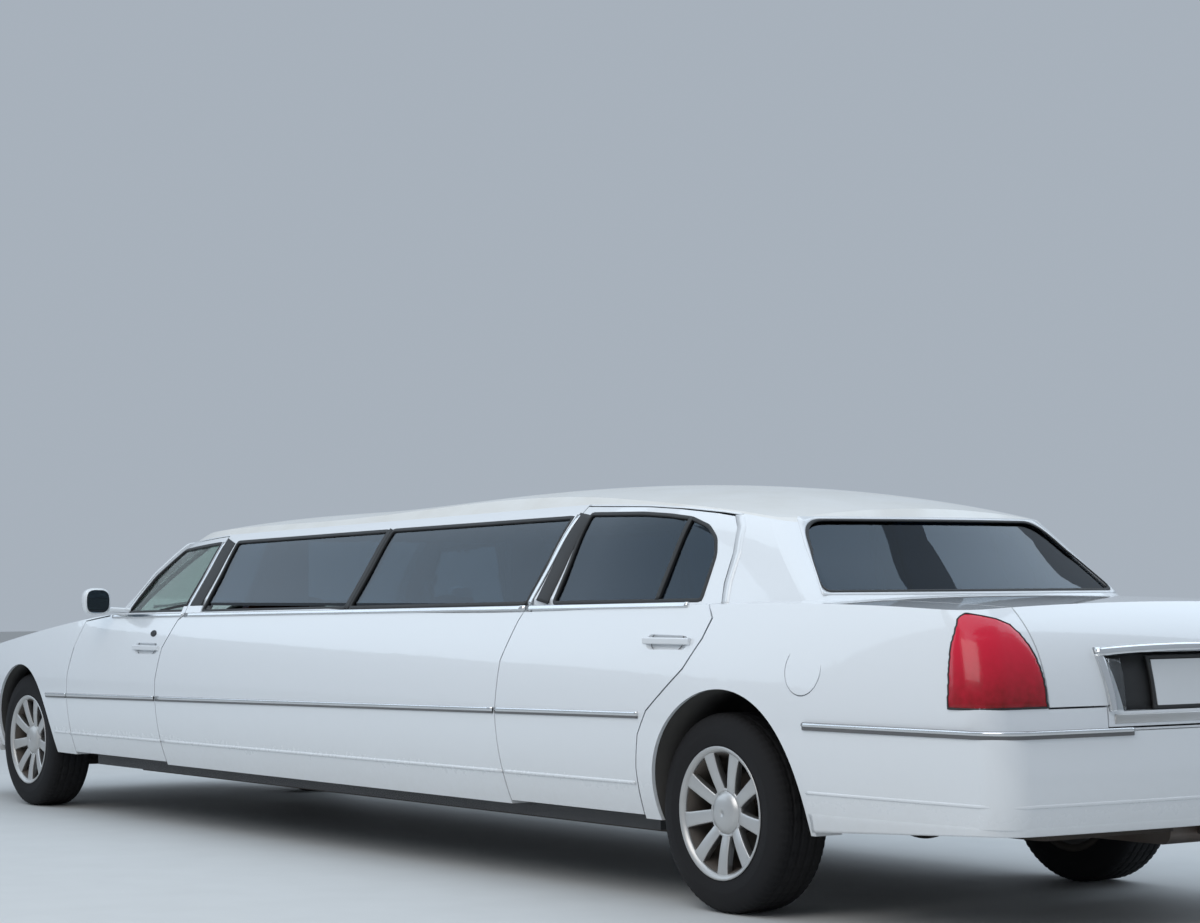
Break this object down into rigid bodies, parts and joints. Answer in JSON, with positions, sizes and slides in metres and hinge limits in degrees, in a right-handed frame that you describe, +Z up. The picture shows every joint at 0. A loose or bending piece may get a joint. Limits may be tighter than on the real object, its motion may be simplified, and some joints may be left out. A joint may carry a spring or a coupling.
{
  "type": "stretch limousine",
  "caption": "Long white saloon-based stretch limousine with an extended middle section, tinted side windows, opening doors, bonnet and boot, steered front wheels and a furnished lounge cabin",
  "frame": {"origin": "on the ground, at the middle of the car's length and width", "axes": "+X forward, +Y to the car's left, +Z up"},
  "size_m": [8.5213, 2.236, 1.5368],
  "materials": {
    "paint": "glossy white paint",
    "roof_paint": "off-white roof, slightly warmer than the sides",
    "chrome_trim": "bright trim",
    "dark_glass": "dark tinted glass",
    "clear_glass": "lightly tinted glass",
    "lamp_red": "red lamp lens",
    "lamp_clear": "clear lamp lens",
    "alloy": "machined alloy",
    "tyre": "black tyre",
    "steel": "dark chassis paint",
    "iron": "cast metal",
    "exhaust_steel": "dull steel",
    "liner": "black liner",
    "carpet": "dark carpet",
    "trim": "grey cabin trim",
    "leather": "grey leather",
    "wood": "dark varnished wood"
  },
  "bodies": {
    "body": {"windscreen_frame": "paint", "front_wings": "paint", "rear_quarters": "paint", "side_panels": "paint", "bumper_rear": "paint", "bumper_front": "paint", "roof": "roof_paint", "grille": "chrome_trim", "windscreen": "clear_glass", "side_glass": "dark_glass", "rear_screen": "dark_glass", "tail_lamps": "lamp_red", "headlamps": "lamp_clear", "frame_rails": "steel", "frame_crossmembers": "steel", "front_suspension": "steel", "rear_axle": "steel", "fuel_tank": "steel", "radiator": "steel", "floor_pan": "carpet", "rear_floor": "carpet", "bulkhead": "trim", "dashboard": "trim", "wheel_liners": "liner", "engine": "iron", "driveline": "iron", "exhaust": "exhaust_steel", "front_seats": "leather", "lounge_seats": "leather", "bar_cabinet": "wood", "partition": "wood"},
    "door_front_left": {"front_door_left": "paint", "front_door_glass_left": "clear_glass", "mirror_left": "paint"},
    "door_front_right": {"front_door_right": "paint", "front_door_glass_right": "clear_glass", "mirror_right": "paint"},
    "door_rear_left": {"rear_door_left": "paint", "rear_door_glass_left": "dark_glass"},
    "door_rear_right": {"rear_door_right": "paint", "rear_door_glass_right": "dark_glass"},
    "bonnet": {"bonnet": "paint"},
    "boot_lid": {"boot_lid": "paint"},
    "knuckle_left": {"knuckle_left": "iron"},
    "knuckle_right": {"knuckle_right": "iron"},
    "wheel_front_left": {"rim_front_left": "alloy", "tyre_front_left": "tyre"},
    "wheel_front_right": {"rim_front_right": "alloy", "tyre_front_right": "tyre"},
    "wheel_rear_left": {"rim_rear_left": "alloy", "tyre_rear_left": "tyre"},
    "wheel_rear_right": {"rim_rear_right": "alloy", "tyre_rear_right": "tyre"},
    "steering_wheel": {"steering_wheel": "trim"}
  },
  "joints": [
    {"name": "steer_left", "type": "hinge", "parent": "body", "child": "knuckle_left", "pos_m": [3.217, 0.7, 0.345], "axis": [0, 0, 1], "range_deg": [-30, 30]},
    {"name": "spin_front_left", "type": "hinge", "parent": "knuckle_left", "child": "wheel_front_left", "pos_m": [3.217, 0.805, 0.345], "axis": [0, 1, 0], "continuous": true},
    {"name": "spin_rear_left", "type": "hinge", "parent": "body", "child": "wheel_rear_left", "pos_m": [-2.821, 0.833, 0.345], "axis": [0, 1, 0], "continuous": true},
    {"name": "open_front_door_left", "type": "hinge", "parent": "body", "child": "door_front_left", "pos_m": [2.551, 0.999, 0.65], "axis": [0, 0, -1], "range_deg": [0, 62]},
    {"name": "open_rear_door_left", "type": "hinge", "parent": "body", "child": "door_rear_left", "pos_m": [-1.467, 0.999, 0.65], "axis": [0, 0, -1], "range_deg": [0, 62]},
    {"name": "steer_right", "type": "hinge", "parent": "body", "child": "knuckle_right", "pos_m": [3.217, -0.7, 0.345], "axis": [0, 0, 1], "range_deg": [-30, 30]},
    {"name": "spin_front_right", "type": "hinge", "parent": "knuckle_right", "child": "wheel_front_right", "pos_m": [3.217, -0.805, 0.345], "axis": [0, 1, 0], "continuous": true},
    {"name": "spin_rear_right", "type": "hinge", "parent": "body", "child": "wheel_rear_right", "pos_m": [-2.821, -0.833, 0.345], "axis": [0, 1, 0], "continuous": true},
    {"name": "open_front_door_right", "type": "hinge", "parent": "body", "child": "door_front_right", "pos_m": [2.551, -0.999, 0.65], "axis": [0, 0, 1], "range_deg": [0, 62]},
    {"name": "open_rear_door_right", "type": "hinge", "parent": "body", "child": "door_rear_right", "pos_m": [-1.467, -0.999, 0.65], "axis": [0, 0, 1], "range_deg": [0, 62]},
    {"name": "open_bonnet", "type": "hinge", "parent": "body", "child": "bonnet", "pos_m": [2.514, 0, 1.014], "axis": [0, -1, 0], "range_deg": [0, 50]},
    {"name": "open_boot", "type": "hinge", "parent": "body", "child": "boot_lid", "pos_m": [-3.261, 0, 1.094], "axis": [0, 1, 0], "range_deg": [0, 60]},
    {"name": "turn_steering_wheel", "type": "hinge", "parent": "body", "child": "steering_wheel", "pos_m": [1.739, 0.37, 0.88], "axis": [0.9135, 0, -0.4067], "range_deg": [-450, 450]}
  ],
  "couplings": [
    {"joint": "steer_right", "follows": "steer_left", "ratio": 1},
    {"joint": "turn_steering_wheel", "follows": "steer_left", "ratio": -15}
  ]
}
